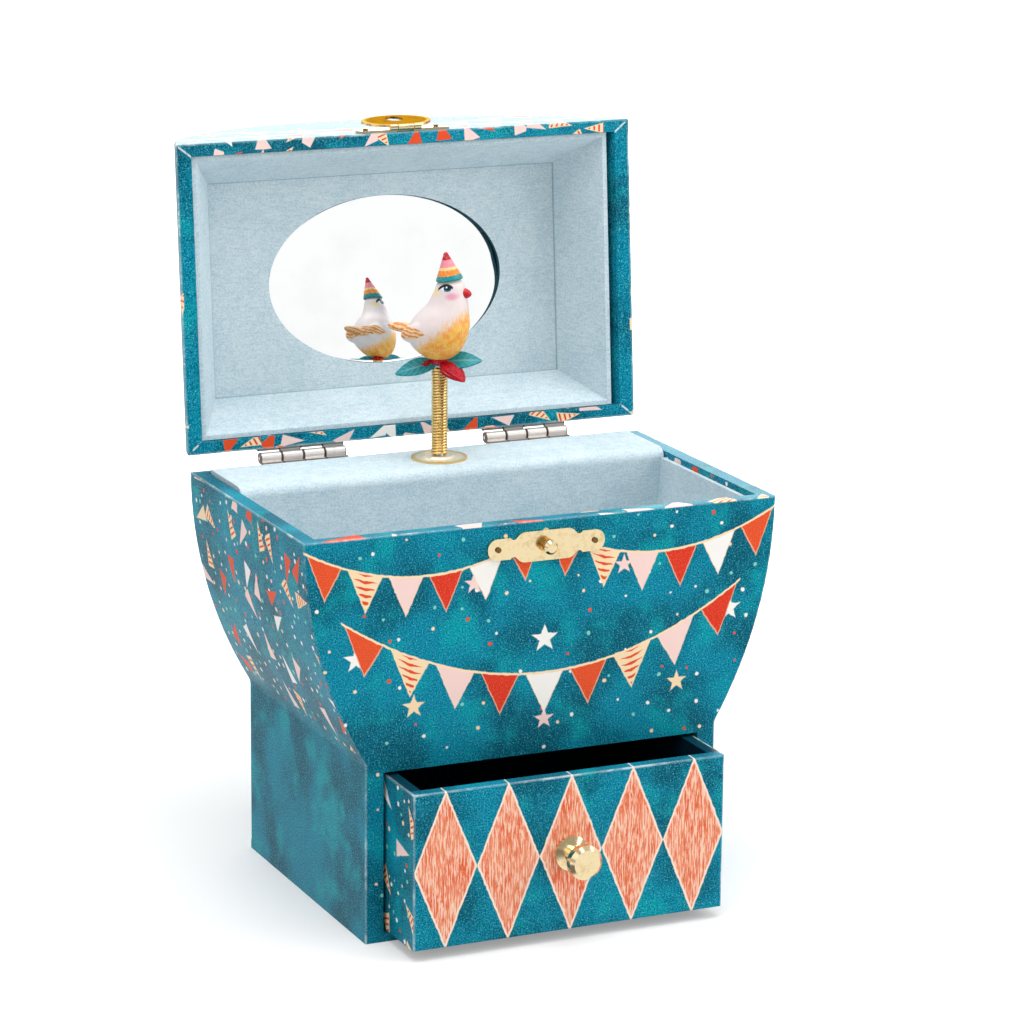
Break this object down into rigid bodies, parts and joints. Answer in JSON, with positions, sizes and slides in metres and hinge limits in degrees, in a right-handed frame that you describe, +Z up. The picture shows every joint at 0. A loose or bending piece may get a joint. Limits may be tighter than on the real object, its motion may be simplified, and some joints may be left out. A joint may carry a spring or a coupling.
{
  "type": "musical jewellery box",
  "caption": "Paper-covered musical jewellery box with a flared body, front drawer, barrel-topped mirror lid and a bird figure that turns on a coil spring.",
  "frame": {"origin": "centre of the case's underside", "axes": "+Z up, -Y towards the front of the box, +X to the right seen from the front; the lid stands open on its stop and the drawer is part open"},
  "size_m": [0.16, 0.206, 0.2376],
  "materials": {
    "printed_paper_board": "printed paper over board, satin",
    "lining_paper": "pale blue flocked lining paper, matt",
    "drawer_paper_board": "printed paper over board outside, dark blue paper inside",
    "brass": "polished",
    "nickel": "nickel plated",
    "mirror": "silvered glass",
    "movement_steel": "pressed and turned steel",
    "bird_resin": "painted resin, satin",
    "hat_resin": "painted resin in bands",
    "teal_resin": "painted resin",
    "red_resin": "painted resin",
    "spring_wire": "drawn wire"
  },
  "bodies": {
    "case": {"bottom_board": "printed_paper_board", "side_panel_left": "printed_paper_board", "side_panel_right": "printed_paper_board", "front_panel": "printed_paper_board", "back_panel": "printed_paper_board", "drawer_ceiling": "drawer_paper_board", "lining_floor": "lining_paper", "lining_left": "lining_paper", "lining_right": "lining_paper", "lining_front": "lining_paper", "movement_deck": "lining_paper", "spindle_flange": "brass", "catch_plate": "brass", "catch_stud": "brass", "case_nails": "brass", "hinge_case_leaf_left": "nickel", "hinge_case_leaf_right": "nickel", "hinge_pins": "nickel", "movement_bedplate": "movement_steel", "comb_heel": "movement_steel", "comb": "movement_steel", "cylinder_bracket": "movement_steel", "governor_frame": "movement_steel", "spindle_bracket": "movement_steel", "movement_screws": "movement_steel"},
    "lid": {"lid_front_panel": "printed_paper_board", "lid_back_panel": "printed_paper_board", "lid_arch": "printed_paper_board", "lid_lining_front": "lining_paper", "lid_lining_back": "lining_paper", "lid_lining_left": "lining_paper", "lid_lining_right": "lining_paper", "mirror_board": "lining_paper", "mirror_glass": "mirror", "hinge_lid_leaf_left": "nickel", "hinge_lid_leaf_right": "nickel", "lid_nails": "brass", "hasp_plate": "brass", "hasp_pin": "brass"},
    "hasp": {"hasp_flap": "brass"},
    "drawer": {"drawer_front": "drawer_paper_board", "drawer_side_left": "drawer_paper_board", "drawer_side_right": "drawer_paper_board", "drawer_back": "drawer_paper_board", "drawer_floor": "drawer_paper_board", "drawer_knob": "brass", "drawer_knob_screw": "movement_steel"},
    "key": {"winding_key": "nickel", "winding_arbor": "movement_steel"},
    "barrel": {"spring_barrel": "brass", "mainspring": "movement_steel"},
    "spindle": {"drive_spindle": "movement_steel"},
    "cylinder": {"music_cylinder": "brass"},
    "governor": {"governor_wheel": "brass"},
    "fly": {"governor_fly": "movement_steel"},
    "stem": {"figure_spring": "spring_wire"},
    "figure": {"bird": "bird_resin", "cone_hat": "hat_resin", "teal_leaves": "teal_resin", "red_leaves": "red_resin"}
  },
  "joints": [
    {"name": "lid_hinge", "type": "hinge", "parent": "case", "child": "lid", "pos_m": [0, 0.0532, 0.1315], "axis": [1, 0, 0], "range_deg": [0, 94.6]},
    {"name": "hasp_swing", "type": "hinge", "parent": "lid", "child": "hasp", "pos_m": [0, 0.062, 0.23583], "axis": [1, 0, 0], "range_deg": [0, 170]},
    {"name": "drawer_slide", "type": "slide", "parent": "case", "child": "drawer", "axis": [0, -1, 0], "range_m": [-0.021, 0.049]},
    {"name": "key_wind", "type": "hinge", "parent": "case", "child": "key", "pos_m": [0, 0.06, 0.085], "axis": [0, 1, 0], "continuous": true},
    {"name": "barrel_turn", "type": "hinge", "parent": "case", "child": "barrel", "pos_m": [0, 0.034, 0.085], "axis": [0, 1, 0], "continuous": true},
    {"name": "spindle_turn", "type": "hinge", "parent": "case", "child": "spindle", "pos_m": [0, 0.033, 0.11], "axis": [0, 0, 1], "continuous": true},
    {"name": "cylinder_turn", "type": "hinge", "parent": "case", "child": "cylinder", "pos_m": [0.027, 0.033, 0.085], "axis": [1, 0, 0], "continuous": true},
    {"name": "governor_turn", "type": "hinge", "parent": "case", "child": "governor", "pos_m": [0.04, 0.033, 0.09625], "axis": [1, 0, 0], "continuous": true},
    {"name": "fly_turn", "type": "hinge", "parent": "case", "child": "fly", "pos_m": [0.042, 0.033, 0.1075], "axis": [1, 0, 0], "continuous": true},
    {"name": "figure_fold", "type": "hinge", "parent": "case", "child": "stem", "pos_m": [0, 0.033, 0.1345], "axis": [1, 0, 0], "range_deg": [0, 94.6], "deforming": ["figure_spring"]},
    {"name": "figure_turn", "type": "hinge", "parent": "stem", "child": "figure", "pos_m": [0, 0.033, 0.17], "axis": [0, 0, 1], "continuous": true}
  ],
  "couplings": [
    {"joint": "spindle_turn", "follows": "barrel_turn", "ratio": 3.1111},
    {"joint": "figure_turn", "follows": "barrel_turn", "ratio": 3.1111},
    {"joint": "cylinder_turn", "follows": "barrel_turn", "ratio": 3.1111},
    {"joint": "governor_turn", "follows": "barrel_turn", "ratio": -12.444},
    {"joint": "fly_turn", "follows": "barrel_turn", "ratio": 49.778},
    {"joint": "figure_fold", "follows": "lid_hinge", "ratio": 1}
  ]
}
